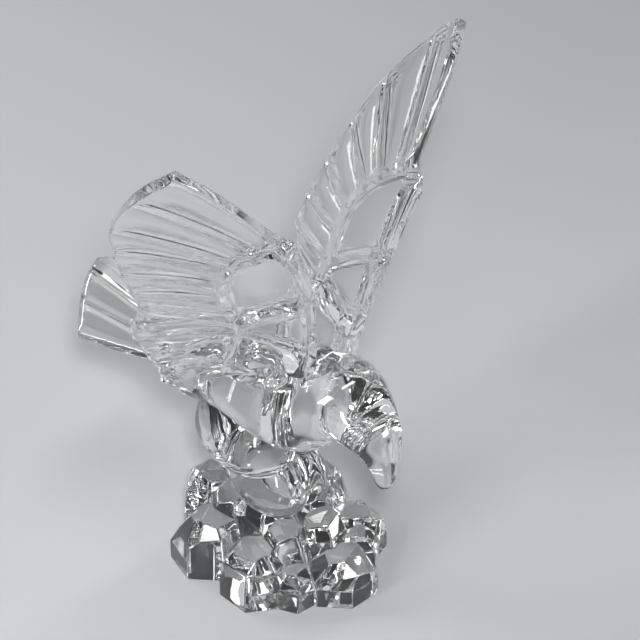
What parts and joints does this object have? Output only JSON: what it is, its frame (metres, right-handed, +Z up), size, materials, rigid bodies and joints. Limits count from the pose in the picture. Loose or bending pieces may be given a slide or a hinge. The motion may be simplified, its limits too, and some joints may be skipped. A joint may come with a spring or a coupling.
{
  "type": "crystal eagle sculpture",
  "caption": "Clear cast crystal eagle with raised wings, bowed head, hooked beak and fan tail, standing on a cluster of faceted rocks.",
  "frame": {"origin": "middle of the rock base's flat underside, below the feet", "axes": "+Z up; the bird faces -Y, its tail points to +Y, and its left wing is at +X"},
  "size_m": [0.157, 0.1753, 0.241],
  "materials": {
    "crystal": "clear lead crystal, polished all over"
  },
  "bodies": {
    "root": {"crystal_eagle": "crystal"}
  },
  "joints": []
}
